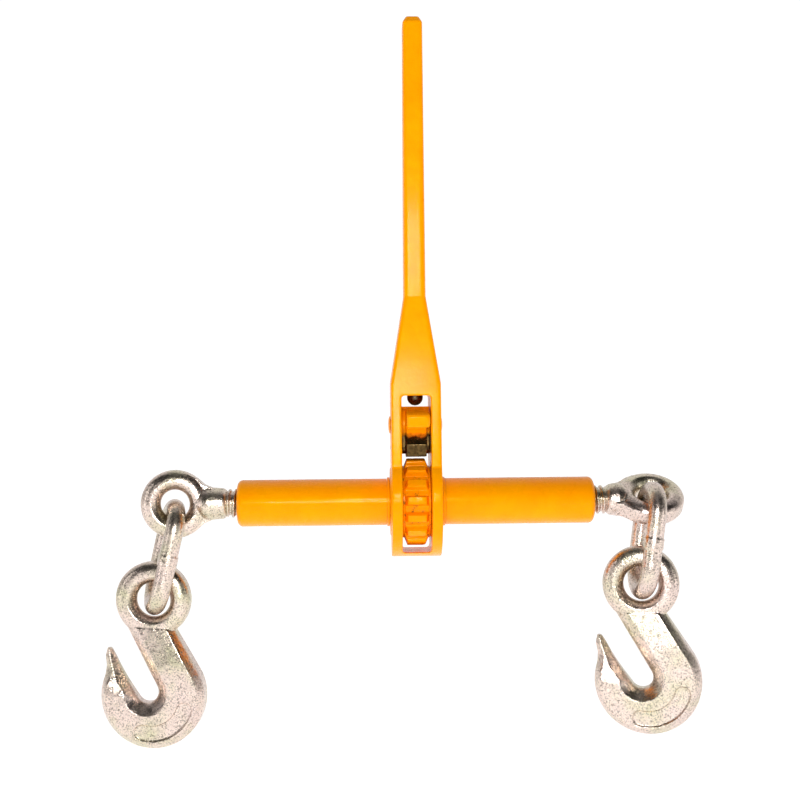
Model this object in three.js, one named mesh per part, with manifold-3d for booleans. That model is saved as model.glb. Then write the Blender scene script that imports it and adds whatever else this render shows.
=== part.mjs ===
// A ratchet load binder. A tubular barrel takes a left-hand eye bolt at one end and a
// right-hand one at the other. A housing forged in one with its handle holds the pawl that
// turns the barrel's gear, and each eye carries a chain link and a grab hook.
// Millimetres. +X runs along the barrel and +Z up the handle. The origin is where the
// barrel's axis crosses the middle of the gear.

import * as THREE from 'three';
import { mergeVertices } from 'three/addons/utils/BufferGeometryUtils.js';
import Module from 'manifold-3d';

const wasm = await Module();
wasm.setup();

// ---------------------------------------------------------------- driving dimensions

const DEG = Math.PI / 180;
const GAP = 0.3; // clearance between pieces that would touch

const BARREL_HALF = 127;
const BARREL_RADIUS = 16.6;
const BARREL_BORE = 12.3;
const MOUTH_RADIUS = 10.8;
const MOUTH_DEPTH = 19;

const HOUSING_RADIUS = 39; // of the two round cheeks, about the barrel
const HOUSING_HALF_WIDTH = 17.5;
const HUB_RADIUS = 24;
const HUB_HALF_WIDTH = 18.5;
const CREASE_Y = 29; // where the round cheeks turn into the paddle's flat faces
const CREASE_Z = 26;
const SLOT_HALF_WIDTH = 10.2;
const SLOT_BOTTOM = -34.5;
const SLOT_TOP = 76;
const PADDLE_TOP = 85;
const BAR_BASE = 146;
const HANDLE_TOP = 344;
const BAR_BASE_HALF = [7.7, 14]; // half width along X, half depth along Y
const BAR_TOP_HALF = [7, 11];
const FORGED_EDGE = 2.5;

const TEETH = 15;
const GEAR_CREST = 31;
const GEAR_ROOT = 26.5;
const GEAR_HALF_WIDTH = 8.5;
const CREST_HALF_WIDTH = 6.4;
const HUB_FACE = 9.9; // half width of the gear's and the pawl's hubs, which nearly fill the slot
const GEAR_HUB_RADIUS = 25.6;
const TOOTH_ROOT_ANGLE = 7.3; // half of what a tooth spans, in degrees
const TOOTH_CREST_ANGLE = 4.6;
const PIN_RADIUS = 2;

const PIVOT_Z = 55; // the pawl's pin
const PAWL_FLIP = 25; // degrees to either side of neutral
const PAWL_TOP_RADIUS = 13.4;
const PAWL_HALF_WIDTH = 7;
const PAWL_BELLY_RADIUS = 23; // about the pin, so that it clears the gear at any angle
const LUG_SIDES = [-PAWL_HALF_WIDTH, 9.7];
const RIVET_RADIUS = 4;
const PLUNGER_RADIUS = 5.65;
const PLUNGER_TIP = 68.7;
const PLUNGER_TOP = 86;
const PLUNGER_BORE_TOP = 108;

const EYE_OUTER = 24.3;
const EYE_HOLE = 10.75;
const EYE_HALF_THICKNESS = 8.5;
const EYE_ROUNDING = 6;
const HOLE_FLARE = 9.3; // radius across a hole's lip, tighter than a link's inner bend
const SHOULDER = 155; // from the eye's centre, where the thread ends and the collar's spigot starts
const SPIGOT_END = 162;
const THREAD_MAJOR = 10.4;
const THREAD_MINOR = 8.6;
const THREAD_PITCH = 4.2;
const SPIGOT_RADIUS = 7;
const COLLAR_RADIUS = 11.9;
const COLLAR_WIDTH = 4.2;
const SNAP_SLOT = [SHOULDER + COLLAR_WIDTH + 2 * GAP, SPIGOT_END - 0.8]; // round the spigot

const WIRE_RADIUS = 6.5;
const LINK_BEND = 17; // radius of the wire's centre line
const LINK_PITCH = 71; // between the centres of the wire at its two ends

const HOOK_EYE_OUTER = 27;
const HOOK_EYE_HOLE = 11.7;
const HOOK_EYE_HALF_THICKNESS = 8.2;
const HOOK_EYE_ROUNDING = 4;
const HOOK_HALF_THICKNESS = 11.5;
const THROAT_CENTRE = [1.1, -65.4]; // from the hook eye's centre
const THROAT_RADIUS = 8;
const THROAT_SLANT = 31.8 * DEG; // from vertical
const HOOK_CENTRE = [5.5, -68]; // of the hook's round back
const HOOK_RADIUS = 38;
const PLAY = 4.6; // how far a hook's hole stands off the centre of the link's wire

// Each end as it lies at rest. Angles are in degrees.
const ENDS = {
  left: {
    side: -1, eyeX: -171.5, neckEnd: 36, roll: 0, wire: [0, 0, -3],
    linkLean: 13, linkYaw: 16, hookTilt: 4.9, hookYaw: -6,
  },
  right: {
    side: 1, eyeX: 168.2, neckEnd: 31, roll: -57, wire: [-0.7, -14.7, 7.2],
    linkLean: 7.3, linkYaw: 4.5, hookTilt: 0.6, hookYaw: -16.5,
  },
};

// ---------------------------------------------------------------- materials

const finish = (color, roughness, metalness) =>
  new THREE.MeshStandardMaterial({ color, roughness, metalness });
const paint = finish(0xffb800, 0.35, 0);
const zinc = finish(0xd7c8a0, 0.35, 1);
const darkSteel = finish(0x4a3f33, 0.5, 1);
const springSteel = finish(0x6d6a66, 0.4, 1);

// ---------------------------------------------------------------- solids

function solidOf(geometry) {
  const bare = new THREE.BufferGeometry();
  bare.setAttribute('position', geometry.getAttribute('position'));
  bare.setIndex(geometry.index);
  const merged = mergeVertices(bare, 1e-4);
  const corners = merged.index.array;
  const triangles = [];
  for (let i = 0; i < corners.length; i += 3) {
    const [a, b, c] = corners.slice(i, i + 3);
    if (a !== b && b !== c && c !== a) triangles.push(a, b, c);
  }
  return new wasm.Manifold(new wasm.Mesh({
    numProp: 3,
    vertProperties: merged.getAttribute('position').array,
    triVerts: new Uint32Array(triangles),
  }));
}

function meshOf(name, solid, material) {
  const { vertProperties, triVerts } = solid.getMesh();
  const geometry = new THREE.BufferGeometry();
  geometry.setAttribute('position', new THREE.BufferAttribute(vertProperties, 3));
  geometry.setIndex(new THREE.BufferAttribute(triVerts, 1));
  geometry.computeVertexNormals();
  const mesh = new THREE.Mesh(geometry, material);
  mesh.name = name;
  return mesh;
}

const points2 = (pairs) => pairs.map(([x, y]) => new THREE.Vector2(x, y));

// Profiles are [radius, position along the axis], and go up the axis on the outside.
function turnedAboutY(profile, segments = 32) {
  return new THREE.LatheGeometry(points2(profile), segments);
}

function turnedAlongX(profile, segments = 32) {
  return solidOf(turnedAboutY(profile, segments).rotateZ(-90 * DEG));
}

function turnedAlongZ(profile, segments = 32) {
  return solidOf(turnedAboutY(profile, segments).rotateX(90 * DEG));
}

const rod = (radius, from, to) => [[0, from], [radius, from], [radius, to], [0, to]];

// A plate whose outline is drawn as [y, z], centred on x = 0.
function plateAlongX(shape, halfWidth, bevel = 0, curveSegments = 12) {
  const geometry = new THREE.ExtrudeGeometry(shape, {
    depth: 2 * (halfWidth - bevel), curveSegments,
    bevelEnabled: bevel > 0, bevelThickness: bevel, bevelSize: bevel, bevelOffset: -bevel,
    bevelSegments: 1,
  });
  geometry.translate(0, 0, bevel - halfWidth);
  const [x, y, z] = [[1, 0, 0], [0, 1, 0], [0, 0, 1]].map((v) => new THREE.Vector3(...v));
  return solidOf(geometry.applyMatrix4(new THREE.Matrix4().makeBasis(y, z, x)));
}

// A plate whose outline is drawn as [x, z], centred on y = 0.
function plateAlongY(shape, halfWidth, curveSegments = 12) {
  const geometry = new THREE.ExtrudeGeometry(shape, {
    depth: 2 * halfWidth, curveSegments, bevelEnabled: false,
  });
  return solidOf(geometry.translate(0, 0, -halfWidth).rotateX(90 * DEG));
}

// Skin over rings of equal count, each counter-clockwise about the way that they advance.
function loft(rings) {
  const count = rings[0].length;
  const last = (rings.length - 1) * count;
  const index = [];
  for (let start = 0; start < last; start += count) {
    for (let i = 0; i < count; i++) {
      const a = start + i;
      const b = start + (i + 1) % count;
      index.push(a, b, b + count, a, b + count, a + count);
    }
  }
  for (let i = 1; i + 1 < count; i++) {
    index.push(0, i + 1, i, last, last + i, last + i + 1);
  }
  const geometry = new THREE.BufferGeometry();
  geometry.setAttribute('position', new THREE.Float32BufferAttribute(rings.flat(2), 3));
  geometry.setIndex(index);
  return solidOf(geometry);
}

function roundedRectangle(left, right, bottom, top, radius) {
  const shape = new THREE.Shape();
  shape.absarc(right - radius, top - radius, radius, 0, 90 * DEG);
  shape.absarc(left + radius, top - radius, radius, 90 * DEG, 180 * DEG);
  shape.absarc(left + radius, bottom + radius, radius, 180 * DEG, 270 * DEG);
  shape.absarc(right - radius, bottom + radius, radius, 270 * DEG, 360 * DEG);
  return shape;
}

// A point on the gear, as [y, z], from its radius and its angle in degrees from the top.
const onGear = (radius, angle) => [radius * Math.sin(angle * DEG), radius * Math.cos(angle * DEG)];

const joined = (solids) => solids.reduce((all, solid) => all.add(solid));

// ---------------------------------------------------------------- barrel and its fittings

const RING_GROOVE = [HUB_HALF_WIDTH, HUB_HALF_WIDTH + 2.4];
const GROOVE_RADIUS = 15.7;
const PIN_ANGLES = { front: -96, back: 96 }; // under the roots of two gaps in the gear

function radialRod(radius, from, to, angle) {
  return turnedAlongZ(rod(radius, from, to), 12).rotate([-angle, 0, 0]);
}

function barrelTube() {
  const half = [
    [BARREL_RADIUS, 0],
    [BARREL_RADIUS, RING_GROOVE[0]], [GROOVE_RADIUS, RING_GROOVE[0]],
    [GROOVE_RADIUS, RING_GROOVE[1]], [BARREL_RADIUS, RING_GROOVE[1]],
    [BARREL_RADIUS, BARREL_HALF - 4.5], [BARREL_RADIUS - 1.2, BARREL_HALF - 1.6],
    [BARREL_RADIUS - 3.4, BARREL_HALF], [MOUTH_RADIUS, BARREL_HALF],
    [MOUTH_RADIUS, BARREL_HALF - MOUTH_DEPTH], [BARREL_BORE, BARREL_HALF - MOUTH_DEPTH],
  ];
  const mirrored = half.slice(1).reverse().map(([radius, x]) => [radius, -x]);
  const profile = [...half, ...mirrored, half[0]];
  const holes = Object.values(PIN_ANGLES)
    .map((angle) => radialRod(PIN_RADIUS + GAP, BARREL_BORE - 3, BARREL_RADIUS + 3, angle));
  return turnedAlongX(profile).subtract(joined(holes));
}

function ratchetGear() {
  const toothAngle = 360 / TEETH;
  const outline = [];
  for (let tooth = 0; tooth < TEETH; tooth++) {
    const centre = (tooth + 0.5) * toothAngle; // a gap stands at the top
    outline.push(
      onGear(GEAR_ROOT, centre - TOOTH_ROOT_ANGLE), onGear(GEAR_CREST, centre - TOOTH_CREST_ANGLE),
      onGear(GEAR_CREST, centre + TOOTH_CREST_ANGLE), onGear(GEAR_ROOT, centre + TOOTH_ROOT_ANGLE));
  }
  const rim = [
    [0, -GEAR_HALF_WIDTH], [GEAR_ROOT - 0.5, -GEAR_HALF_WIDTH],
    [GEAR_CREST + 0.3, -CREST_HALF_WIDTH], [GEAR_CREST + 0.3, CREST_HALF_WIDTH],
    [GEAR_ROOT - 0.5, GEAR_HALF_WIDTH], [0, GEAR_HALF_WIDTH],
  ];
  const bore = turnedAlongX(rod(BARREL_RADIUS + GAP, -20, 20));
  const holes = Object.values(PIN_ANGLES)
    .map((angle) => radialRod(PIN_RADIUS + GAP, BARREL_RADIUS - 3, GEAR_CREST, angle));
  return plateAlongX(new THREE.Shape(points2(outline)), GEAR_HALF_WIDTH)
    .intersect(turnedAlongX(rim, 3 * TEETH))
    .add(turnedAlongX(rod(GEAR_HUB_RADIUS, -HUB_FACE, HUB_FACE)))
    .subtract(joined([bore, ...holes]));
}

function gearPin(angle) {
  return radialRod(PIN_RADIUS, BARREL_BORE + 0.7, GEAR_ROOT - 0.5, angle);
}

// A ring split at the bottom so that it springs into its groove.
function splitRing(inner, outer, width, centreX, segments = 12) {
  const [from, to] = [-80 * DEG, 260 * DEG];
  const shape = new THREE.Shape();
  shape.absarc(0, 0, outer, from, to, false);
  shape.absarc(0, 0, inner, to, from, true);
  return plateAlongX(shape, width / 2, 0, segments).translate([centreX, 0, 0]);
}

function retainingRing(side) {
  const centre = side * (RING_GROOVE[0] + RING_GROOVE[1]) / 2;
  return splitRing(GROOVE_RADIUS + GAP, BARREL_RADIUS + 0.9, 1.8, centre, 16);
}

// ---------------------------------------------------------------- handle and pawl

function housingPlate() {
  const creaseAngle = Math.atan2(CREASE_Z, CREASE_Y);
  const depthAtTop = faceDepth(PADDLE_TOP);
  const shape = new THREE.Shape();
  shape.absarc(0, 0, HOUSING_RADIUS, Math.PI - creaseAngle, 2 * Math.PI + creaseAngle, false);
  shape.lineTo(depthAtTop, PADDLE_TOP);
  shape.lineTo(-depthAtTop, PADDLE_TOP);
  return plateAlongX(shape, HOUSING_HALF_WIDTH, 2, 30);
}

// Half depth of the paddle's flat faces, which run straight from the crease to the bar.
function faceDepth(z) {
  const along = (z - CREASE_Z) / (BAR_BASE - CREASE_Z);
  return CREASE_Y + along * (BAR_BASE_HALF[1] - CREASE_Y);
}

function barSection([halfX, halfY], edge, z) {
  const corner = (x, y) => [x, y, z];
  const [nearX, nearY] = [halfX - edge, halfY - edge];
  return [
    corner(halfX, -nearY), corner(halfX, nearY), corner(nearX, halfY), corner(-nearX, halfY),
    corner(-halfX, nearY), corner(-halfX, -nearY), corner(-nearX, -halfY), corner(nearX, -halfY),
  ];
}

function handleBar() {
  const overlap = 4;
  return loft([
    barSection([HOUSING_HALF_WIDTH, faceDepth(PADDLE_TOP - overlap)], 2, PADDLE_TOP - overlap),
    barSection([HOUSING_HALF_WIDTH, faceDepth(PADDLE_TOP)], 2, PADDLE_TOP),
    barSection(BAR_BASE_HALF, FORGED_EDGE, BAR_BASE),
    barSection(BAR_TOP_HALF, FORGED_EDGE, HANDLE_TOP - 5),
    barSection(BAR_TOP_HALF.map((half) => half - 3), FORGED_EDGE / 2, HANDLE_TOP),
  ]);
}

function handleForging() {
  const slot = roundedRectangle(-SLOT_HALF_WIDTH, SLOT_HALF_WIDTH, SLOT_BOTTOM, SLOT_TOP, 2.5);
  const hub = turnedAlongX(rod(HUB_RADIUS, -HUB_HALF_WIDTH, HUB_HALF_WIDTH));
  const barrelHole = turnedAlongX(rod(BARREL_RADIUS + GAP, -30, 30));
  const rivetHole = turnedAlongX(rod(RIVET_RADIUS + GAP, -30, 30), 20).translate([0, 0, PIVOT_Z]);
  const plungerHole = turnedAlongZ(
    rod(PLUNGER_RADIUS + GAP, SLOT_TOP - 5, PLUNGER_BORE_TOP), 24);
  return joined([housingPlate(), handleBar(), hub])
    .subtract(joined([plateAlongY(slot, 60, 4), barrelHole, rivetHole, plungerHole]));
}

// One side's claw is set out where it bites, from the gear's radii and angles. Turning it
// back about the rivet gives its place in neutral.
function clawOutline() {
  const engaged = [[33, 15.5], [31.2, 19.2], [28.3, 20.8], [28.3, 27.2], [31.2, 29.4], [37, 33]];
  const rivet = new THREE.Vector2(0, PIVOT_Z);
  return engaged.map(([radius, angle]) => {
    const point = new THREE.Vector2(...onGear(radius, angle));
    return point.rotateAround(rivet, PAWL_FLIP * DEG).toArray();
  });
}

function pawlBody() {
  const belly = [10, 0].map((angle) => {
    const [y, below] = onGear(PAWL_BELLY_RADIUS, angle);
    return [y, PIVOT_Z - below];
  });
  const rightSide = [belly[0], ...clawOutline(), [21, 53.5], [15, 64]];
  const leftSide = rightSide.map(([y, z]) => [-y, z]).reverse();
  const shape = new THREE.Shape(points2([...leftSide, belly[1], ...rightSide]));
  shape.absarc(0, PIVOT_Z, PAWL_TOP_RADIUS, 50 * DEG, 130 * DEG, false);
  const middle = roundedRectangle(-11, 11, PIVOT_Z - 20.5, PIVOT_Z + 8, 5);
  return plateAlongX(shape, PAWL_HALF_WIDTH)
    .add(turnedAlongX(rod(PAWL_TOP_RADIUS, -HUB_FACE, HUB_FACE)).translate([0, 0, PIVOT_Z]))
    .add(plateAlongX(middle, HUB_FACE, 0, 3));
}

function thumbLug(side) {
  const outline = [[12, 53.5], [27, 53.5], [29.1, 54.4], [30, 56.5], [30, 60], [29.3, 62], [27, 63.9],
    [16, 68], [14, 68], [12, 66.6]];
  const shape = new THREE.Shape(points2(outline.map(([y, z]) => [side * y, z])));
  const [from, to] = LUG_SIDES;
  return plateAlongX(shape, (to - from) / 2).translate([(from + to) / 2, 0, 0]);
}

function pawl() {
  const detents = [-PAWL_FLIP, 0, PAWL_FLIP].map((angle) => {
    const [y, z] = onGear(PAWL_TOP_RADIUS + 4.9, angle);
    return turnedAlongX(rod(6, -20, 20), 24).translate([0, y, PIVOT_Z + z]);
  });
  const rivetHole = turnedAlongX(rod(RIVET_RADIUS + GAP, -20, 20), 20).translate([0, 0, PIVOT_Z]);
  return joined([pawlBody(), thumbLug(-1), thumbLug(1)]).subtract(joined([rivetHole, ...detents]));
}

function pawlPin() {
  const headFace = HOUSING_HALF_WIDTH + GAP;
  const profile = [
    [0, -headFace - 1.3], [3.6, -headFace - 1.1], [6, -headFace], [RIVET_RADIUS, -headFace],
    [RIVET_RADIUS, headFace], [6, headFace], [3.6, headFace + 1.1], [0, headFace + 1.3],
  ];
  return turnedAlongX(profile, 20).translate([0, 0, PIVOT_Z]);
}

function plunger() {
  const profile = [];
  for (let angle = 0; angle <= 90; angle += 18) {
    profile.push([
      PLUNGER_RADIUS * Math.sin(angle * DEG),
      PLUNGER_TIP + PLUNGER_RADIUS * (1 - Math.cos(angle * DEG)),
    ]);
  }
  profile.push([PLUNGER_RADIUS, PLUNGER_TOP], [0, PLUNGER_TOP]);
  return turnedAlongZ(profile, 24);
}

class Helix extends THREE.Curve {
  constructor(radius, bottom, height, turns) {
    super();
    Object.assign(this, { radius, bottom, height, turns });
  }

  getPoint(t, target = new THREE.Vector3()) {
    const angle = 2 * Math.PI * this.turns * t;
    return target.set(
      this.radius * Math.cos(angle), this.radius * Math.sin(angle), this.bottom + this.height * t);
  }
}

function plungerSpring() {
  const wire = 0.65;
  const turns = 5;
  const bottom = PLUNGER_TOP + GAP + wire;
  const path = new Helix(4.3, bottom, PLUNGER_BORE_TOP - GAP - wire - bottom, turns);
  const section = new THREE.Shape().absarc(0, 0, wire, 0, 2 * Math.PI);
  return solidOf(new THREE.ExtrudeGeometry(
    section, { extrudePath: path, steps: 10 * turns, curveSegments: 3 }));
}

// ---------------------------------------------------------------- eye bolts

// A ring about Y whose hole is flared to both sides and whose rim is rounded off.
function flaredEye(outer, hole, halfThickness, rounding, flareSteps = 4) {
  const profile = [
    [outer - rounding, -halfThickness], [outer - 0.3 * rounding, 0.7 * rounding - halfThickness],
    [outer, rounding + 1 - halfThickness], [outer, halfThickness - rounding - 1],
    [outer - 0.3 * rounding, halfThickness - 0.7 * rounding], [outer - rounding, halfThickness],
  ];
  for (let step = 0; step <= flareSteps; step++) {
    const y = halfThickness * (1 - 2 * step / flareSteps);
    profile.push([hole + HOLE_FLARE - Math.sqrt(HOLE_FLARE ** 2 - y ** 2), y]);
  }
  return solidOf(turnedAboutY([...profile, profile[0]], 30));
}

// A V thread along +X, from x = 0 to at least the length. The grid's rows follow the helix,
// so every crest and root is one line. hand is 1 for right-hand and -1 for left-hand.
function threadRod(length, hand) {
  const perTurn = 10;
  const rows = [[0, THREAD_MINOR], [0.5, THREAD_MAJOR]]; // [part of the pitch, radius]
  const steps = perTurn * Math.ceil(length / THREAD_PITCH + 2);
  const position = [];
  for (let k = 0; k <= steps; k++) {
    const angle = 2 * Math.PI * k / perTurn;
    for (const [part, radius] of rows) {
      const x = THREAD_PITCH * (k / perTurn + part - 1);
      position.push(x, radius * Math.cos(angle), hand * radius * Math.sin(angle));
    }
  }
  const count = rows.length;
  const at = (k, row) => count * (row < count ? k : k + perTurn) + row % count;
  const triangles = [];
  for (let k = 0; k < steps; k++) {
    for (let row = 0; row < count && at(k + 1, row + 1) < position.length / 3; row++) {
      triangles.push([at(k, row), at(k + 1, row), at(k + 1, row + 1)]);
      triangles.push([at(k, row), at(k + 1, row + 1), at(k, row + 1)]);
    }
  }
  const start = position.push(-THREAD_PITCH - 1, 0, 0) / 3 - 1;
  const end = position.push(THREAD_PITCH * (steps / perTurn + 1), 0, 0) / 3 - 1;
  for (let row = 0; row < count; row++) {
    triangles.push([at(0, row), at(0, row + 1), start]);
    if (row > 0) triangles.push([at(steps, row), at(steps, row - 1), end]);
  }
  triangles.push([at(steps, 0), at(steps - perTurn, count - 1), end]);
  for (let k = 0; k < perTurn; k++) {
    triangles.push([at(k + 1, 0), at(k, 0), start]);
    triangles.push([at(steps - perTurn + k, count - 1), at(steps - perTurn + k + 1, count - 1), end]);
  }
  const geometry = new THREE.BufferGeometry();
  geometry.setAttribute('position', new THREE.Float32BufferAttribute(position, 3));
  geometry.setIndex(triangles.flatMap((t) => (hand > 0 ? t : t.reverse())));
  const trim = [
    [0, 0], [THREAD_MINOR, 0], [THREAD_MAJOR + 0.2, 1.5], [THREAD_MAJOR + 0.2, length - 2],
    [THREAD_MINOR - 0.4, length], [0, length],
  ];
  return solidOf(geometry).intersect(turnedAlongX(trim, 24));
}

// The eye's centre is at the origin and the shank runs along +X.
function eyeBolt(hand, neckEnd) {
  const eye = flaredEye(EYE_OUTER, EYE_HOLE, EYE_HALF_THICKNESS, EYE_ROUNDING);
  const neck = turnedAlongX([
    [0, 17], [8, 17], [11.4, 21], [12, 23.5], [THREAD_MAJOR - 0.1, neckEnd],
    [THREAD_MINOR, neckEnd + 1.5], [0, neckEnd + 1.5],
  ], 24);
  const spigot = turnedAlongX([
    [0, SHOULDER - 1], [SPIGOT_RADIUS, SHOULDER - 1], [SPIGOT_RADIUS, SNAP_SLOT[0]],
    [SPIGOT_RADIUS - 1, SNAP_SLOT[0]], [SPIGOT_RADIUS - 1, SNAP_SLOT[1]],
    [SPIGOT_RADIUS, SNAP_SLOT[1]], [SPIGOT_RADIUS - 0.4, SPIGOT_END], [0, SPIGOT_END],
  ], 24);
  const thread = threadRod(SHOULDER - neckEnd, hand).translate([neckEnd, 0, 0]);
  return joined([eye, neck, eyeWeb(), thread, spigot]);
}

// The flat forging that fills the corners between an eye and its neck.
function eyeWeb() {
  const outline = [[10, 21.5], [16, 18.2], [21, 13.6], [26, 11.6]];
  const below = outline.map(([x, z]) => [x, -z]).reverse();
  return plateAlongY(new THREE.Shape(points2([...outline, ...below])), 5.5)
    .subtract(solidOf(turnedAboutY(rod(EYE_HOLE + 4, -10, 10))));
}

function stopCollar() {
  const [from, to] = [SHOULDER + GAP, SHOULDER + GAP + COLLAR_WIDTH];
  const inner = SPIGOT_RADIUS + GAP;
  const profile = [
    [inner, from], [COLLAR_RADIUS, from], [COLLAR_RADIUS, to], [inner, to], [inner, from],
  ];
  return turnedAlongX(profile, 24);
}

function snapRing() {
  const width = SNAP_SLOT[1] - SNAP_SLOT[0] - 2 * GAP;
  return splitRing(SPIGOT_RADIUS - 1 + GAP, 9.5, width, (SNAP_SLOT[0] + SNAP_SLOT[1]) / 2, 10);
}

// ---------------------------------------------------------------- chain links and grab hooks

// The top of the wire's centre line is at the origin. The link hangs down and is wide along Y.
function chainLink() {
  const steps = 20;
  const torus = new THREE.TorusGeometry(LINK_BEND, WIRE_RADIUS, 10, steps);
  torus.rotateZ(180 * DEG / steps);
  const position = torus.getAttribute('position');
  const straight = LINK_PITCH / 2 - LINK_BEND;
  for (let i = 0; i < position.count; i++) {
    position.setY(i, position.getY(i) + Math.sign(position.getY(i)) * straight);
  }
  torus.rotateX(90 * DEG).rotateZ(90 * DEG);
  const bead = [
    [0, -5], [WIRE_RADIUS - 0.5, -5], [WIRE_RADIUS + 0.6, -2], [WIRE_RADIUS + 0.6, 2],
    [WIRE_RADIUS - 0.5, 5], [0, 5],
  ];
  return solidOf(torus)
    .add(turnedAlongZ(bead, 12).translate([0, -LINK_BEND, 0]))
    .translate([0, 0, -LINK_PITCH / 2]);
}

// Matching points [x, z] along the inside and the outside of the hook, from neck to tip.
function hookRibs() {
  const up = [-Math.sin(THROAT_SLANT), Math.cos(THROAT_SLANT)];
  const circle = ([x, z], radius, angle) =>
    [x + radius * Math.cos(angle * DEG), z + radius * Math.sin(angle * DEG)];
  const blend = (a, b, t) => a.map((value, i) => value + t * (b[i] - value));
  const wallAngle = THROAT_SLANT / DEG;
  const throatRight = circle(THROAT_CENTRE, THROAT_RADIUS, wallAngle);
  const neck = throatRight.map((value, i) => value + 47.5 * up[i]);
  const backStart = circle(HOOK_CENTRE, HOOK_RADIUS, 30);
  const ribs = [];
  for (const t of [0, 0.25, 0.5, 0.75]) {
    ribs.push([blend(neck, throatRight, t), blend([17.4, -19.4], backStart, t)]);
  }
  const bendSteps = 12;
  for (let step = 0; step <= bendSteps; step++) {
    const t = step / bendSteps;
    ribs.push([
      circle(THROAT_CENTRE, THROAT_RADIUS, wallAngle - 180 * t),
      circle(HOOK_CENTRE, HOOK_RADIUS, 30 - 222 * t),
    ]);
  }
  ribs.push([[-14, -58.8], [-30.2, -55.6]]);
  ribs.push([[-20, -49.7], [-30, -49.6]]);
  ribs.push([[-24.2, -42.2], [-31.6, -43.2]]);
  ribs.push([[-27.3, -37.6], [-30.6, -37.2]]);
  return ribs;
}

// The cross-section slopes down to its edges, further on the side of the throat.
function hookSection([inside, outside], halfThickness) {
  const span = Math.hypot(outside[0] - inside[0], outside[1] - inside[1]);
  const insideSlope = Math.min(8, 0.45 * span) / span;
  const outsideSlope = Math.min(4.3, 0.4 * span) / span;
  const outline = [
    [1, -0.5], [1, 0.5], [1 - outsideSlope, 1], [insideSlope, 1],
    [0, 0.35], [0, -0.35], [insideSlope, -1], [1 - outsideSlope, -1],
  ];
  return outline.map(([across, up]) => [
    inside[0] + across * (outside[0] - inside[0]),
    -up * halfThickness,
    inside[1] + across * (outside[1] - inside[1]),
  ]);
}

// The eye's centre is at the origin. The hook hangs down and its tip is on the -X side.
function grabHook() {
  const ribs = hookRibs();
  const tipRibs = 5;
  const rings = ribs.map((rib, i) => {
    const fromNeck = Math.min(1, (i + 1) / 4);
    const toTip = Math.min(1, (ribs.length - 1 - i) / tipRibs);
    const thickness = HOOK_EYE_HALF_THICKNESS - 0.7
      + fromNeck * (HOOK_HALF_THICKNESS - HOOK_EYE_HALF_THICKNESS + 0.7);
    return hookSection(rib, 3 + toTip * (thickness - 3));
  });
  const eye = flaredEye(
    HOOK_EYE_OUTER, HOOK_EYE_HOLE, HOOK_EYE_HALF_THICKNESS, HOOK_EYE_ROUNDING);
  return loft(rings).add(eye).subtract(labelPanel());
}

// A shallow curved recess on the front of the hook's heel.
function labelPanel() {
  const [from, to] = [-95 * DEG, -15 * DEG];
  const shape = new THREE.Shape();
  shape.absarc(0, 0, 31, from, to, false);
  shape.absarc(0, 0, 20, to, from, true);
  return plateAlongY(shape, 1.5, 8)
    .translate([HOOK_CENTRE[0], -HOOK_HALF_THICKNESS - 0.8, HOOK_CENTRE[1]]);
}

// ---------------------------------------------------------------- assembly

const binder = new THREE.Group();

binder.add(
  meshOf('barrel_tube', barrelTube(), paint),
  meshOf('ratchet_gear', ratchetGear(), paint),
  meshOf('gear_pin_front', gearPin(PIN_ANGLES.front), springSteel),
  meshOf('gear_pin_back', gearPin(PIN_ANGLES.back), springSteel),
  meshOf('left_retaining_ring', retainingRing(-1), paint),
  meshOf('right_retaining_ring', retainingRing(1), paint),
  meshOf('handle', handleForging(), paint),
  meshOf('pawl_pin', pawlPin(), paint),
  meshOf('pawl', pawl(), paint),
  meshOf('plunger', plunger(), darkSteel),
  meshOf('plunger_spring', plungerSpring(), springSteel),
);

for (const [end, at] of Object.entries(ENDS)) {
  const bolt = new THREE.Group();
  bolt.position.x = at.eyeX;
  bolt.rotation.set(at.roll * DEG, 0, at.side > 0 ? Math.PI : 0);
  bolt.add(
    meshOf(`${end}_eye_bolt`, eyeBolt(at.side, at.neckEnd), zinc),
    meshOf(`${end}_stop_collar`, stopCollar(), darkSteel),
    meshOf(`${end}_snap_ring`, snapRing(), springSteel),
  );

  const link = meshOf(`${end}_link`, chainLink(), zinc);
  link.position.set(at.eyeX + at.wire[0], at.wire[1], at.wire[2]);
  link.rotation.set(0, at.linkLean * DEG, at.linkYaw * DEG);

  const hook = meshOf(`${end}_hook`, grabHook(), zinc);
  const hang = new THREE.Vector3(0, 0, -LINK_PITCH).applyEuler(link.rotation);
  hook.position.copy(link.position).add(hang);
  hook.position.z += PLAY;
  hook.rotation.set(0, at.hookTilt * DEG, at.hookYaw * DEG, 'ZYX');

  binder.add(bolt, link, hook);
}

export default binder;
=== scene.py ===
"""The visible surfaces, finishes, light and camera of a ratchet load binder.

Shapes are worked out in millimetres, and new_object turns them into metres.
+X runs along the barrel, +Z up the handle, and -Y is the front."""

import math

import bmesh
import bpy
import numpy as np
from mathutils import Matrix, Vector, noise


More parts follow.
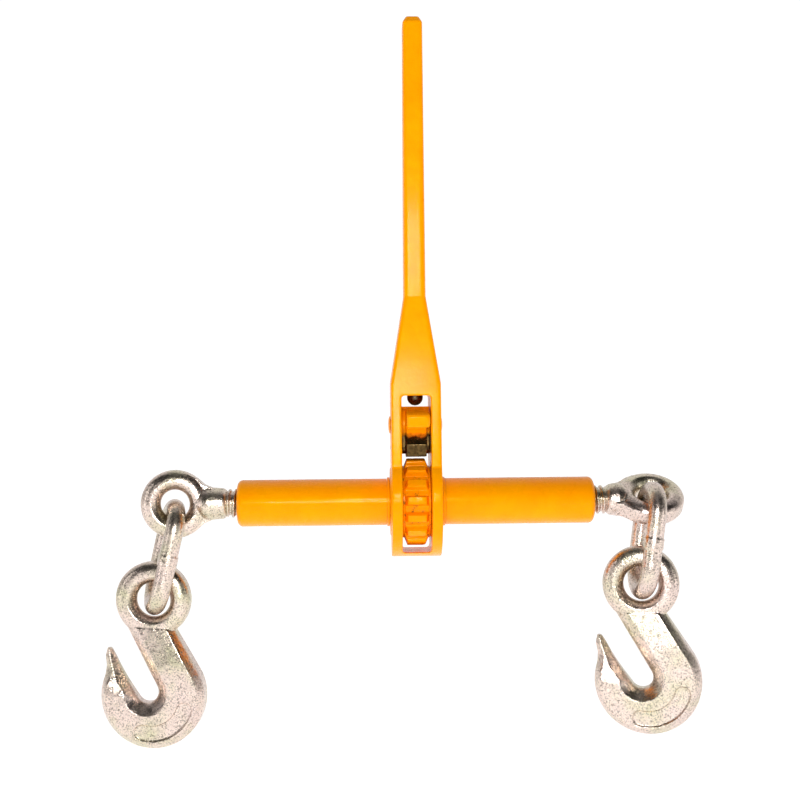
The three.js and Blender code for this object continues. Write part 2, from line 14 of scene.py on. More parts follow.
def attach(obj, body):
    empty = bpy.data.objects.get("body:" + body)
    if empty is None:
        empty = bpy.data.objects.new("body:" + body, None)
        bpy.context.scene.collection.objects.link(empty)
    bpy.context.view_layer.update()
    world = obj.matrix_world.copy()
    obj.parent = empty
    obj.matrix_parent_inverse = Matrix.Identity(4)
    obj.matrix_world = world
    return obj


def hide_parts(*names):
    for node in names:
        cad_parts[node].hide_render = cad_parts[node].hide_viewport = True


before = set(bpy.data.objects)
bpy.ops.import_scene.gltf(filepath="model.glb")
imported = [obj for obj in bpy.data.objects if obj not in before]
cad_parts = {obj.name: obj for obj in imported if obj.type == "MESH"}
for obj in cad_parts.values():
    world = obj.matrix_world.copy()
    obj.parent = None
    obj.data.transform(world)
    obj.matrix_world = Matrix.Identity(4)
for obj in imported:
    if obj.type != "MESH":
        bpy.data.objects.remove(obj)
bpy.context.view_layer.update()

# ---------------------------------------------------------------- dimensions
# These follow the CAD, but for a few that keep the finer shapes inside its box and clear of each
# other: the housing's and the hook's radius, the handle's top and the holes of the eyes.

MM = 0.001
GAP = 0.3  # between pieces that fit together
CHAMFER = 0.6
THROUGH = 60  # how far a cutting shape reaches to each side

BARREL_HALF = 127
BARREL_RADIUS = 16.6
BARREL_BORE = 12.3
BARREL_ROUNDING = 4
MOUTH_RADIUS = 10.8
MOUTH_DEPTH = 19

HOUSING_RADIUS = 38.9
HOUSING_HALF_WIDTH = 17.5
HUB_RADIUS = 24
HUB_HALF_WIDTH = 18.5
RING_GROOVE = (18.5, 20.9)
GROOVE_RADIUS = 15.7
RING_PROUD = 0.9  # how far a retaining ring stands out of the barrel
RING_HALF_WIDTH = 0.9
CREASE_Y = 29
CREASE_Z = 26
SLOT_HALF_WIDTH = 10.2
SLOT_BOTTOM = -34.5
SLOT_TOP = 76
SLOT_ROUNDING = 2
PADDLE_TOP = 85
BAR_BASE = 146
HANDLE_TOP = 343.9
BAR_BASE_HALF = (7.7, 14)
BAR_TOP_HALF = (7, 11)
BAR_ROUNDING = 2.5
EDGE_ROUNDING = 1.5

TEETH = 15
GEAR_CREST = 31
GEAR_ROOT = 26.5
GEAR_HALF_WIDTH = 8.5
CREST_HALF_WIDTH = 6.4
HUB_FACE = 9.9
GEAR_HUB_RADIUS = 25.6
TOOTH_ROOT_ANGLE = 7.3
TOOTH_CREST_ANGLE = 4.6
DENT_SIZE = 2.6
DENT_DEPTH = 0.012  # as a part of the radius

PIVOT_Z = 55
PAWL_FLIP = 25
PAWL_TOP_RADIUS = 13.4
PAWL_HALF_WIDTH = 7
PAWL_BELLY_RADIUS = 23
DETENT_RADIUS = 6
DETENT_OFFSET = 4.9  # from the pawl's round top to a detent's centre
LUG_SIDES = (-7, 9.7)
RIVET_RADIUS = 4
RIVET_HEAD_RADIUS = 6.2
RIVET_HEAD_HEIGHT = 1.35
PLUNGER_RADIUS = 5.65
PLUNGER_TIP = 68.7
PLUNGER_TOP = 86
PLUNGER_BORE_TOP = 108

EYE_OUTER = 24.3
EYE_HOLE = 10.2
EYE_HALF_THICKNESS = 8.5
EYE_ROUNDING = 8.5
HOLE_FLARE = 9.3
PARTING_HALF = 2  # half width of the band along a rim's parting line
SHOULDER = 155
SPIGOT_END = 162
SPIGOT_RADIUS = 7
THREAD_MAJOR = 10.4
THREAD_MINOR = 8.6
THREAD_PITCH = 4.2

WIRE_RADIUS = 6.5
LINK_BEND = 17
LINK_PITCH = 71
WELD_HEIGHT = 0.55
WELD_HALF_LENGTH = 3.3

HOOK_EYE_OUTER = 27
HOOK_EYE_HOLE = 12.2
HOOK_EYE_HALF_THICKNESS = 8.2
HOOK_EYE_ROUNDING = 8
HOOK_HALF_THICKNESS = 11.5
THROAT_CENTRE = (1.1, -65.4)
THROAT_RADIUS = 8
THROAT_SLANT = 31.8
HOOK_CENTRE = (5.5, -68)
HOOK_RADIUS = 37.5
HOOK_NECK_LENGTH = 47.5
HOOK_SHANK_TOP = (17.4, -19.4)
HOOK_TIP_HALF_THICKNESS = 3
INSIDE_SLOPE = 8.5  # width of the slope beside the throat
OUTSIDE_SLOPE = 4.6
PANEL_RADII = (20, 31)
PANEL_ANGLES = (-100, -15)
PANEL_DEPTH = 1.1
PLAY = 4.6  # how far a hook's hole rides up on its link

FLOOR_HALF = 6000
FLOOR_Z = -260

# Each end as it lies at rest. Angles are in degrees.
ENDS = {
    "left": dict(side=-1, eye_x=-171.5, neck_end=36, roll=0, wire=(0, 0, -3),
                 link_lean=13, link_yaw=16, hook_tilt=4.9, hook_yaw=-6),
    "right": dict(side=1, eye_x=168.2, neck_end=31, roll=-57, wire=(-0.7, -14.7, 7.2),
                  link_lean=7.3, link_yaw=4.5, hook_tilt=0.6, hook_yaw=-16.5),
}

# ---------------------------------------------------------------- mesh building

def grid_faces(rows, columns, wrap_rows=False, wrap_columns=True):
    """Quads over a grid of points stored row by row."""
    faces = []
    for row in range(rows if wrap_rows else rows - 1):
        for column in range(columns if wrap_columns else columns - 1):
            right = (column + 1) % columns
            above = (row + 1) % rows
            faces.append((row * columns + column, row * columns + right,
                          above * columns + right, above * columns + column))
    return faces


def new_object(name, vertices, faces):
    """A smooth-shaded object with outward normals, from vertices in millimetres."""
    mesh = bpy.data.meshes.new(name)
    mesh.from_pydata([tuple(float(c) * MM for c in v) for v in vertices], [], faces)
    work = bmesh.new()
    work.from_mesh(mesh)
    bmesh.ops.remove_doubles(work, verts=work.verts, dist=1e-7)
    bmesh.ops.recalc_face_normals(work, faces=work.faces)
    return smooth_object(name, mesh, work)


def smooth_object(name, mesh, work):
    """An object whose mesh takes the bmesh's faces, shaded smooth."""
    work.to_mesh(mesh)
    work.free()
    mesh.shade_smooth()
    obj = bpy.data.objects.new(name, mesh)
    bpy.context.scene.collection.objects.link(obj)
    return obj


def closed_loft(name, rings):
    """Skin over rings of equal count, with a flat cap at each end."""
    count = len(rings[0])
    faces = grid_faces(len(rings), count)
    faces.append(tuple(range(count)))
    faces.append(tuple((len(rings) - 1) * count + i for i in range(count)))
    return new_object(name, [point for ring in rings for point in ring], faces)


def turned(name, profile, axis="X", segments=96, closed=False):
    """A profile of (radius, position along the axis) turned about X, Y or Z."""
    points = []
    for radius, along in profile:
        for step in range(segments):
            angle = 2 * math.pi * step / segments
            u, v = radius * math.cos(angle), radius * math.sin(angle)
            points.append({"X": (along, u, v), "Y": (v, along, u), "Z": (u, v, along)}[axis])
    return new_object(name, points, grid_faces(len(profile), segments, wrap_rows=closed))


def plate(name, outline, half_width, axis):
    """An outline extruded both ways along X, drawn as (y, z), or along Y, drawn as (x, z)."""
    def place(point, depth):
        return (depth, *point) if axis == "X" else (point[0], depth, point[1])
    return closed_loft(name, [[place(p, d) for p in outline] for d in (-half_width, half_width)])


def arc(centre, radius, start, end, steps=16):
    """Points on a circle from one angle to another, in degrees from the first axis."""
    angles = np.radians(np.linspace(start, end, steps + 1))
    return [(centre[0] + radius * math.cos(a), centre[1] + radius * math.sin(a)) for a in angles]


def rounded_rectangle(left, right, bottom, top, radius, steps=6):
    """The outline of a rectangle whose corners are arcs, from the right top corner around."""
    corners = ((right, top, 0), (left, top, 90), (left, bottom, 180), (right, bottom, 270))
    points = []
    for x, y, start in corners:
        centre = (x - math.copysign(radius, x - (left + right) / 2),
                  y - math.copysign(radius, y - (bottom + top) / 2))
        points += arc(centre, radius, start, start + 90, steps)
    return points


def rod(radius, start, end):
    """The profile of a cylinder, for turned."""
    return [(0, start), (radius, start), (radius, end), (0, end)]


def with_modifiers_applied(obj):
    """The object with its modifiers worked into its mesh."""
    shape = obj.evaluated_get(bpy.context.evaluated_depsgraph_get())
    mesh = bpy.data.meshes.new_from_object(shape)
    obj.modifiers.clear()
    obj.data = mesh
    return obj


def combine(target, others, operation):
    """Boolean UNION or DIFFERENCE of the target with each of the others, which are used up."""
    for other in others:
        modifier = target.modifiers.new("combine", "BOOLEAN")
        modifier.operation = operation
        modifier.solver = "EXACT"
        modifier.object = other
        with_modifiers_applied(target)
        bpy.data.objects.remove(other)
    return target


def merged(name, objects):
    """One object with the meshes of all of them, which are used up."""
    work = bmesh.new()
    for obj in objects:
        work.from_mesh(obj.data)
        bpy.data.objects.remove(obj)
    return smooth_object(name, bpy.data.meshes.new(name), work)


def forged(obj, voxel, smoothing):
    """Melts overlapping shells into one skin with edges rounded as a forging's are."""
    remesh = obj.modifiers.new("remesh", "REMESH")
    remesh.mode = "VOXEL"
    remesh.voxel_size = voxel * MM
    smooth = obj.modifiers.new("smooth", "SMOOTH")
    smooth.factor = 0.5
    smooth.iterations = smoothing
    with_modifiers_applied(obj)
    obj.data.shade_smooth()
    return obj


def placed(obj, matrix):
    """Moves the mesh itself, so that the object stays at the origin as the CAD nodes do."""
    obj.data.transform(matrix)
    return obj


# ---------------------------------------------------------------- barrel and gear

def barrel():
    """A tube with two grooves for the rings, rounded ends and a narrower mouth at each end."""
    half = [(BARREL_RADIUS, 0), (BARREL_RADIUS, RING_GROOVE[0]), (GROOVE_RADIUS, RING_GROOVE[0]),
            (GROOVE_RADIUS, RING_GROOVE[1]), (BARREL_RADIUS, RING_GROOVE[1])]
    end_corner = arc((BARREL_HALF - BARREL_ROUNDING, BARREL_RADIUS - BARREL_ROUNDING),
                     BARREL_ROUNDING, 90, 0, 12)
    half += [(radius, along) for along, radius in end_corner]
    half += [(MOUTH_RADIUS + CHAMFER, BARREL_HALF), (MOUTH_RADIUS, BARREL_HALF - CHAMFER),
             (MOUTH_RADIUS, BARREL_HALF - MOUTH_DEPTH), (BARREL_BORE, BARREL_HALF - MOUTH_DEPTH)]
    mirrored = [(radius, -along) for radius, along in reversed(half[1:])]
    obj = turned("barrel", half + mirrored, segments=128, closed=True)
    return with_crisp_edges(obj)


def with_crisp_edges(obj, angle=30):
    """Keeps each edge sharp that bends by more than the angle, in degrees."""
    obj.data.set_sharp_from_angle(angle=math.radians(angle))
    return obj


def tooth_radius(angle):
    """The gear's rim at an angle in degrees from the middle of a tooth."""
    t = (abs(angle) - TOOTH_CREST_ANGLE) / (TOOTH_ROOT_ANGLE - TOOTH_CREST_ANGLE)
    t = min(1, max(0, t))
    return GEAR_CREST + (GEAR_ROOT - GEAR_CREST) * t * t * (3 - 2 * t)


def on_gear(radius, angle):
    """A point (y, z) from its radius and its angle in degrees from the top."""
    return radius * math.sin(math.radians(angle)), radius * math.cos(math.radians(angle))


def toothed_ring(x):
    """The gear's rim across X, bevelled beyond the crests' half width and dented a little."""
    per_tooth = 28
    bevel = (GEAR_CREST - GEAR_ROOT + 0.8) / (GEAR_HALF_WIDTH - CREST_HALF_WIDTH)
    limit = GEAR_CREST - bevel * max(0, abs(x) - CREST_HALF_WIDTH)
    ring = []
    for step in range(TEETH * per_tooth):
        angle = 360 * step / (TEETH * per_tooth)
        from_tooth = (angle % (360 / TEETH)) - 180 / TEETH
        point = Vector((x, *on_gear(min(tooth_radius(from_tooth), limit), angle)))
        if abs(x) < GEAR_HALF_WIDTH:
            shrink = 1 - DENT_DEPTH * max(0, noise.noise(point / DENT_SIZE))
            point.y *= shrink
            point.z *= shrink
        ring.append(point)
    return ring


def ratchet_gear():
    """Toothed rings across the gear's width, closed along the bore, and a hub that is wider."""
    bore = BARREL_RADIUS + GAP
    right = [2.2, 4.5, 5.8, 6.5, 7.1, 7.7, 8.2, GEAR_HALF_WIDTH]
    rings = [toothed_ring(x) for x in [-x for x in reversed(right)] + [0] + right]
    count = len(rings[0])
    first, last = [[(x, *on_gear(bore, 360 * step / count)) for step in range(count)]
                   for x in (-GEAR_HALF_WIDTH, GEAR_HALF_WIDTH)]
    points = [point for ring in (first, *rings, last) for point in ring]
    toothed = new_object("toothed", points, grid_faces(len(rings) + 2, count, wrap_rows=True))
    hub_end = [(GEAR_HUB_RADIUS, HUB_FACE - CHAMFER), (GEAR_HUB_RADIUS - CHAMFER, HUB_FACE),
               (bore, HUB_FACE)]
    other_end = [(radius, -along) for radius, along in reversed(hub_end)]
    hub = turned("gear_hub", other_end + hub_end, closed=True)
    return with_crisp_edges(merged("gear", [toothed, hub]), 40)


def split_ring(name, inner, outer, half_width, centre_x):
    """A round-edged ring about X with a gap at the bottom."""
    section = rounded_rectangle(inner, outer, -half_width, half_width, 0.3, 3)
    rings = []
    for angle in np.radians(np.linspace(-80, 260, 97)):
        rings.append([(centre_x + along, radius * math.cos(angle), radius * math.sin(angle))
                      for radius, along in section])
    return closed_loft(name, rings)


# ---------------------------------------------------------------- handle and pawl

def face_depth(z):
    """Half depth of the paddle's flat faces at a height."""
    along = (z - CREASE_Z) / (BAR_BASE - CREASE_Z)
    return CREASE_Y + along * (BAR_BASE_HALF[1] - CREASE_Y)


def bar_ring(half, z, rounding):
    """A rounded rectangle of two half sizes across the handle at a height."""
    outline = rounded_rectangle(-half[0], half[0], -half[1], half[1], rounding)
    return [(x, y, z) for x, y in outline]


def handle():
    """The housing with its slot, the paddle above it and the tapering bar, as one forging."""
    crease = math.degrees(math.atan2(CREASE_Z, CREASE_Y))
    cheeks = arc((0, 0), HOUSING_RADIUS, 180 - crease, 360 + crease, 90)
    top = face_depth(PADDLE_TOP)
    cheeks += [(top, PADDLE_TOP), (-top, PADDLE_TOP)]
    forging = plate("handle_forging", cheeks, HOUSING_HALF_WIDTH, "X")
    low = PADDLE_TOP - 4
    bar = closed_loft("bar", [
        bar_ring((HOUSING_HALF_WIDTH, face_depth(low)), low, EDGE_ROUNDING),
        bar_ring((HOUSING_HALF_WIDTH, top), PADDLE_TOP, EDGE_ROUNDING),
        bar_ring(BAR_BASE_HALF, BAR_BASE, BAR_ROUNDING),
        bar_ring(BAR_TOP_HALF, HANDLE_TOP - 4, BAR_ROUNDING),
        bar_ring([half - BAR_ROUNDING for half in BAR_TOP_HALF], HANDLE_TOP, EDGE_ROUNDING),
    ])
    hub = turned("hub", rod(HUB_RADIUS, -HUB_HALF_WIDTH, HUB_HALF_WIDTH), segments=128)
    slot = plate("slot", rounded_rectangle(
        -SLOT_HALF_WIDTH, SLOT_HALF_WIDTH, SLOT_BOTTOM, SLOT_TOP, SLOT_ROUNDING), THROUGH, "Y")
    barrel_hole = turned("barrel_hole", rod(BARREL_RADIUS + GAP + 0.1, -THROUGH, THROUGH), segments=128)
    bore = rod(PLUNGER_RADIUS + GAP, SLOT_TOP - 5, PLUNGER_BORE_TOP)
    plunger_hole = turned("plunger_hole", bore, "Z", 48)
    combine(forging, [bar, hub], "UNION")
    combine(forging, [slot, barrel_hole, plunger_hole], "DIFFERENCE")
    return forged(forging, voxel=0.7, smoothing=4)


def claw():
    """The outline of the claw that bites the gear, turned back to its place in neutral."""
    bite = [(33, 15.5), (31.2, 19.2), (28.3, 20.8), (28.3, 27.2), (31.2, 29.4), (37, 33)]
    turn = math.radians(PAWL_FLIP)
    outline = []
    for radius, angle in bite:
        y, z = on_gear(radius, angle)
        z -= PIVOT_Z
        outline.append((y * math.cos(turn) - z * math.sin(turn),
                        PIVOT_Z + y * math.sin(turn) + z * math.cos(turn)))
    return outline


def pawl():
    """Two claws under a round top with three detents, on a wider hub, with a thumb lug each way."""
    reach = 20  # of the cutting shapes, to each side
    belly = arc((0, PIVOT_Z), PAWL_BELLY_RADIUS, -100, -80, 8)
    right = [*claw(), (21, 53.5), (15, 64)]
    left = [(-y, z) for y, z in reversed(right)]
    outline = left + belly + right + arc((0, PIVOT_Z), PAWL_TOP_RADIUS, 50, 130)
    body = plate("pawl_body", outline, PAWL_HALF_WIDTH, "X")
    hub = turned("pawl_hub", rod(PAWL_TOP_RADIUS, -HUB_FACE, HUB_FACE), segments=64)
    placed(hub, Matrix.Translation((0, 0, PIVOT_Z * MM)))
    block = rounded_rectangle(-11, 11, PIVOT_Z - 20.5, PIVOT_Z + 8, 5)
    middle = plate("pawl_middle", block, HUB_FACE, "X")
    rivet_hole = turned("rivet_hole", rod(RIVET_RADIUS + GAP, -reach, reach), segments=48)
    cuts = [placed(rivet_hole, Matrix.Translation((0, 0, PIVOT_Z * MM)))]
    for angle in (-PAWL_FLIP, 0, PAWL_FLIP):
        y, z = on_gear(PAWL_TOP_RADIUS + DETENT_OFFSET, angle)
        detent = turned("detent", rod(DETENT_RADIUS, -reach, reach), segments=48)
        cuts.append(placed(detent, Matrix.Translation(Vector((0, y, PIVOT_Z + z)) * MM)))
    combine(body, [hub, middle, thumb_lug(-1), thumb_lug(1)], "UNION")
    combine(body, cuts, "DIFFERENCE")
    return forged(body, voxel=0.35, smoothing=4)


def thumb_lug(side):
    """A tab that is flush with the pawl on one side, overhangs it on the other, and is rounded there."""
    from_x, to_x = LUG_SIDES
    top_rounding, bottom_rounding, small_rounding = 3.2, 2.4, 1
    rings = []
    for y, bottom, top, inset in ((10, 53.5, 66.4, 0), (15.5, 53.5, 67.6, 0), (27, 53.5, 63.7, 0),
                                  (29.2, 53.9, 62.6, 0.4), (30, 55, 61.4, 1.4)):
        x_min = from_x + inset
        x_max = to_x - inset
        ring = []
        for x, z, rounding, start, steps in (
                (x_max - top_rounding, top - top_rounding, top_rounding, 0, 6),
                (x_min + small_rounding, top - small_rounding, small_rounding, 90, 3),
                (x_min + small_rounding, bottom + small_rounding, small_rounding, 180, 3),
                (x_max - bottom_rounding, bottom + bottom_rounding, bottom_rounding, 270, 6)):
            ring += arc((x, z), rounding, start, start + 90, steps)
        rings.append([(x, side * y, z) for x, z in ring])
    return closed_loft("lug", rings)


def rivet():
    """The pawl's pin along X, with a low domed head on each side."""
    face = HOUSING_HALF_WIDTH + GAP
    dome = [(RIVET_HEAD_RADIUS * math.cos(a), face + 0.2 + RIVET_HEAD_HEIGHT * math.sin(a))
            for a in np.linspace(0, math.pi / 2, 9)]
    right = [(RIVET_RADIUS, face), (6, face), *dome]
    left = [(radius, -along) for radius, along in reversed(right)]
    obj = turned("rivet", left + right, segments=64)
    return placed(with_crisp_edges(obj, 50), Matrix.Translation((0, 0, PIVOT_Z * MM)))


def plunger():
    """A round-nosed pin along Z."""
    nose = [(PLUNGER_RADIUS * math.sin(a), PLUNGER_TIP + PLUNGER_RADIUS * (1 - math.cos(a)))
            for a in np.linspace(0, math.pi / 2, 17)]
    obj = turned("plunger_pin", nose + [(PLUNGER_RADIUS, PLUNGER_TOP), (0, PLUNGER_TOP)], "Z", 64)
    return with_crisp_edges(obj)


# ---------------------------------------------------------------- eye bolts

def flared_eye(name, outer, hole, half_thickness, rounding):
    """A ring about Y whose hole is flared to both sides and whose rim curves to a parting line."""
    rise = half_thickness - PARTING_HALF
    rim = [(outer - rounding * (1 - math.cos(a)), PARTING_HALF + rise * math.sin(a))
           for a in np.linspace(0, math.pi / 2, 13)]
    flare = [(hole + HOLE_FLARE - math.sqrt(HOLE_FLARE ** 2 - y ** 2), y)
             for y in np.linspace(half_thickness, -half_thickness, 25)]
    mirrored = [(radius, -y) for radius, y in reversed(rim)]
    return turned(name, mirrored + rim + flare, "Y", 96, closed=True)


def thread(length, hand):
    """A rolled thread along +X with flattened crests and roots. hand is 1 for right-hand."""
    per_turn = 48
    stations = int(length / THREAD_PITCH * 8)
    mean = (THREAD_MAJOR + THREAD_MINOR) / 2
    depth = (THREAD_MAJOR - THREAD_MINOR) / 2
    points = []
    for station in range(stations + 1):
        x = length * station / stations
        fade = min(1, x / 2, (length - x) / 2 + 0.05)
        for step in range(per_turn):
            angle = 2 * math.pi * step / per_turn
            phase = 2 * math.pi * x / THREAD_PITCH - angle
            wave = max(-1, min(1, 1.25 * math.cos(phase)))
            radius = mean + depth * wave * fade - depth * (1 - fade)
            points.append((x, radius * math.cos(angle), hand * radius * math.sin(angle)))
    faces = grid_faces(stations + 1, per_turn)
    faces += [tuple(range(per_turn)), tuple(stations * per_turn + i for i in range(per_turn))]
    return new_object("thread", points, faces)


def eye_bolt(end, at):
    """The eye's centre is at the origin and the shank runs along +X, until it is placed."""
    eye = flared_eye("eye", EYE_OUTER, EYE_HOLE, EYE_HALF_THICKNESS, EYE_ROUNDING)
    neck_end = at["neck_end"]
    neck = turned("neck", [(0, 15), (8, 15), (11.2, 20), (12, 23.5), (11.6, 27),
                           (THREAD_MAJOR + 0.6, neck_end - 1.4), (THREAD_MAJOR - 0.2, neck_end),
                           (THREAD_MINOR, neck_end + 1.5), (0, neck_end + 1.5)], segments=64)
    upper = [(10, 21.5), (16, 18.2), (21, 13.6), (26, 11.6)]
    web = plate("web", upper + [(x, -z) for x, z in reversed(upper)], 5.5, "Y")
    clearance = turned("clearance", rod(EYE_HOLE + 4, -THROUGH, THROUGH), "Y", 64)
    combine(web, [clearance], "DIFFERENCE")
    head = forged(merged("head", [eye, neck, web]), voxel=0.5, smoothing=5)
    screw = placed(thread(SHOULDER - neck_end, at["side"]), Matrix.Translation((neck_end * MM, 0, 0)))
    spigot = turned("spigot", [
        (0, SHOULDER - 1), (SPIGOT_RADIUS, SHOULDER - 1), (SPIGOT_RADIUS, SHOULDER + 4.8),
        (SPIGOT_RADIUS - 1, SHOULDER + 4.8), (SPIGOT_RADIUS - 1, SPIGOT_END - 0.8),
        (SPIGOT_RADIUS, SPIGOT_END - 0.8), (SPIGOT_RADIUS - 0.4, SPIGOT_END), (0, SPIGOT_END)], segments=48)
    bolt = merged(f"{end}_bolt", [head, screw, spigot])
    turn = Matrix.Rotation(math.pi, 4, "Z") if at["side"] > 0 else Matrix.Identity(4)
    matrix = (Matrix.Translation((at["eye_x"] * MM, 0, 0))
              @ Matrix.Rotation(math.radians(at["roll"]), 4, "X") @ turn)
    return placed(bolt, matrix)


# ---------------------------------------------------------------- chain links and grab hooks

def link_matrix(at):
    """Where the link's top wire lies in the eye, and how the link leans and turns there."""
    place = Vector((at["eye_x"], 0, 0)) + Vector(at["wire"])
    return (Matrix.Translation(place * MM) @ Matrix.Rotation(math.radians(at["link_lean"]), 4, "Y")
            @ Matrix.Rotation(math.radians(at["link_yaw"]), 4, "Z"))


def weld(z):
    """How far the butt weld stands proud at a height from the middle of the leg."""
    collar = WELD_HEIGHT * math.exp(-(z / 3.4) ** 4)
    ridges = sum(0.45 * math.exp(-((z - edge) / 0.55) ** 2)
                 for edge in (-WELD_HALF_LENGTH, WELD_HALF_LENGTH))
    return collar + ridges


def chain_link(end, at):
    """A round-wire link whose front leg carries the weld. The top wire is at the origin."""
    straight = LINK_PITCH / 2 - LINK_BEND
    around, bend_steps, leg_steps = 40, 40, 48
    path = []
    for side, start in ((1, 0), (-1, 180)):
        for angle in np.radians(np.linspace(start, start + 180, bend_steps + 1)):
            centre = (LINK_BEND * math.cos(angle), side * straight + LINK_BEND * math.sin(angle))
            path.append((centre, (math.cos(angle), math.sin(angle))))
        for z in np.linspace(side * straight, -side * straight, leg_steps + 1)[1:-1]:
            path.append(((-side * LINK_BEND, z), (-side, 0)))
    points = []
    for (y, z), (out_y, out_z) in path:
        on_front_leg = y < -LINK_BEND + 0.01 and abs(z) < straight
        bead = weld(z) if on_front_leg else 0
        for step in range(around):
            angle = 2 * math.pi * step / around
            uneven = 1 + 0.5 * noise.noise(Vector((2 * math.cos(angle), 2 * math.sin(angle), z / 2)))
            radius = WIRE_RADIUS + bead * uneven
            u, v = radius * math.cos(angle), radius * math.sin(angle)
            points.append((v, y + u * out_y, z + u * out_z - LINK_PITCH / 2))
    obj = new_object(f"{end}_chain_link", points, grid_faces(len(path), around, wrap_rows=True))
    return placed(obj, link_matrix(at))


def hook_ribs():
    """Matching points (x, z) along the inside and the outside of the hook, from neck to tip."""
    slant = math.radians(THROAT_SLANT)
    up = (-math.sin(slant), math.cos(slant))

    def circle(centre, radius, angle):
        a = math.radians(angle)
        return np.array(centre) + radius * np.array((math.cos(a), math.sin(a)))

    throat_right = circle(THROAT_CENTRE, THROAT_RADIUS, THROAT_SLANT)
    neck = throat_right + HOOK_NECK_LENGTH * np.array(up)
    back_start = circle(HOOK_CENTRE, HOOK_RADIUS, 30)
    shank_top = np.array(HOOK_SHANK_TOP)
    ribs = []
    for t in np.linspace(0, 1, 17)[:-1]:
        ribs.append((neck + t * (throat_right - neck), shank_top + t * (back_start - shank_top)))
    for t in np.linspace(0, 1, 41):
        ribs.append((circle(THROAT_CENTRE, THROAT_RADIUS, THROAT_SLANT - 180 * t),
                     circle(HOOK_CENTRE, HOOK_RADIUS, 30 - 222 * t)))
    tip = [((-14, -58.8), (-30.2, -55.6)), ((-20, -49.7), (-30, -49.6)),
           ((-24.2, -42.2), (-31.6, -43.2)), ((-27.3, -37.6), (-30.6, -37.2))]
    for inside, outside in tip:
        last_inside, last_outside = ribs[-1]
        for t in (0.25, 0.5, 0.75, 1):
            ribs.append((last_inside + t * (np.array(inside) - last_inside),
                         last_outside + t * (np.array(outside) - last_outside)))
    return ribs


def hook_section(inside, outside, half_thickness):
    """Flat on both faces, then curving down to the parting line, further beside the throat."""
    span = float(np.linalg.norm(outside - inside))
    inside_slope = min(INSIDE_SLOPE, 0.45 * span) / span
    outside_slope = min(OUTSIDE_SLOPE, 0.4 * span) / span
    rise = np.linspace(0, 1, 8)
    front = [(inside_slope * t, 0.3 + 0.7 * t ** 0.8) for t in rise]
    front += [(1 - outside_slope * t, 0.4 + 0.6 * t ** 0.8) for t in reversed(rise)]
    outline = front + [(across, -up) for across, up in reversed(front)]
    return [(inside[0] + across * (outside[0] - inside[0]), -up * half_thickness,
             inside[1] + across * (outside[1] - inside[1])) for across, up in outline]


def grab_hook(end, at):
    """The eye's centre is at the origin and the tip is on the -X side, until it is placed."""
    ribs = hook_ribs()
    lengths = np.cumsum([0] + [float(np.linalg.norm(sum(b) / 2 - sum(a) / 2))
                               for a, b in zip(ribs, ribs[1:])])
    neck_thickness = HOOK_EYE_HALF_THICKNESS - 0.7
    rings = []
    for (inside, outside), along in zip(ribs, lengths):
        swell = min(1, 0.25 + along / 40)
        to_tip = min(1, (lengths[-1] - along) / 34)
        thickness = neck_thickness + swell * (HOOK_HALF_THICKNESS - neck_thickness)
        half_thickness = HOOK_TIP_HALF_THICKNESS + to_tip * (thickness - HOOK_TIP_HALF_THICKNESS)
        rings.append(hook_section(inside, outside, half_thickness))
    body = closed_loft("hook_body", rings)
    combine(body, [label_panel()], "DIFFERENCE")
    eye = flared_eye("hook_eye", HOOK_EYE_OUTER, HOOK_EYE_HOLE, HOOK_EYE_HALF_THICKNESS,
                     HOOK_EYE_ROUNDING)
    hook = forged(merged(f"{end}_grab_hook", [body, eye]), voxel=0.5, smoothing=3)
    hang = link_matrix(at) @ Vector((0, 0, -LINK_PITCH * MM))
    matrix = (Matrix.Translation(hang + Vector((0, 0, PLAY * MM)))
              @ Matrix.Rotation(math.radians(at["hook_yaw"]), 4, "Z")
              @ Matrix.Rotation(math.radians(at["hook_tilt"]), 4, "Y"))
    return placed(hook, matrix)


def label_panel():
    """A shallow curved recess, with round ends, to cut from the front of the hook's heel."""
    inner, outer = PANEL_RADII
    start, end = PANEL_ANGLES
    half = (outer - inner) / 2

    def on_middle(angle):
        return arc((0, 0), inner + half, angle, angle, 1)[0]

    outline = arc((0, 0), outer, start, end, 32)
    outline += arc(on_middle(end), half, end, end + 180, 12)[1:-1]
    outline += arc((0, 0), inner, end, start, 24)
    outline += arc(on_middle(start), half, start + 180, start + 360, 12)[1:-1]
    reach = 1.6
    panel = plate("panel", outline, reach, "Y")
    centre = Vector((HOOK_CENTRE[0], PANEL_DEPTH - reach - HOOK_HALF_THICKNESS, HOOK_CENTRE[1]))
    return placed(panel, Matrix.Translation(centre * MM))


# ---------------------------------------------------------------- materials

def new_material(name):
    """A material, its node tree and the shader in it."""
    material = bpy.data.materials.new(name)
    material.use_nodes = True
    tree = material.node_tree
    return material, tree, tree.nodes["Principled BSDF"]


def add(tree, kind, inputs=(), **settings):
    """A node with its settings, its inputs given as values or as other nodes' outputs."""
    node = tree.nodes.new(kind)
    for key, value in settings.items():
        setattr(node, key, value)
    for key, value in dict(inputs).items():
        if isinstance(value, bpy.types.NodeSocket):
            tree.links.new(value, node.inputs[key])
        else:
            node.inputs[key].default_value = value
    return node


def place_of(tree):
    """The surface point in the object's own coordinates, in metres."""
    return add(tree, "ShaderNodeTexCoord").outputs["Object"]


def grain(tree, size, detail=2, roughness=0.5, where=None):
    """Noise from 0 to 1 in patches of about the size, in millimetres."""
    return add(tree, "ShaderNodeTexNoise", {
        "Vector": where or place_of(tree), "Scale": 1000 / size, "Detail": detail,
        "Roughness": roughness}).outputs["Fac"]


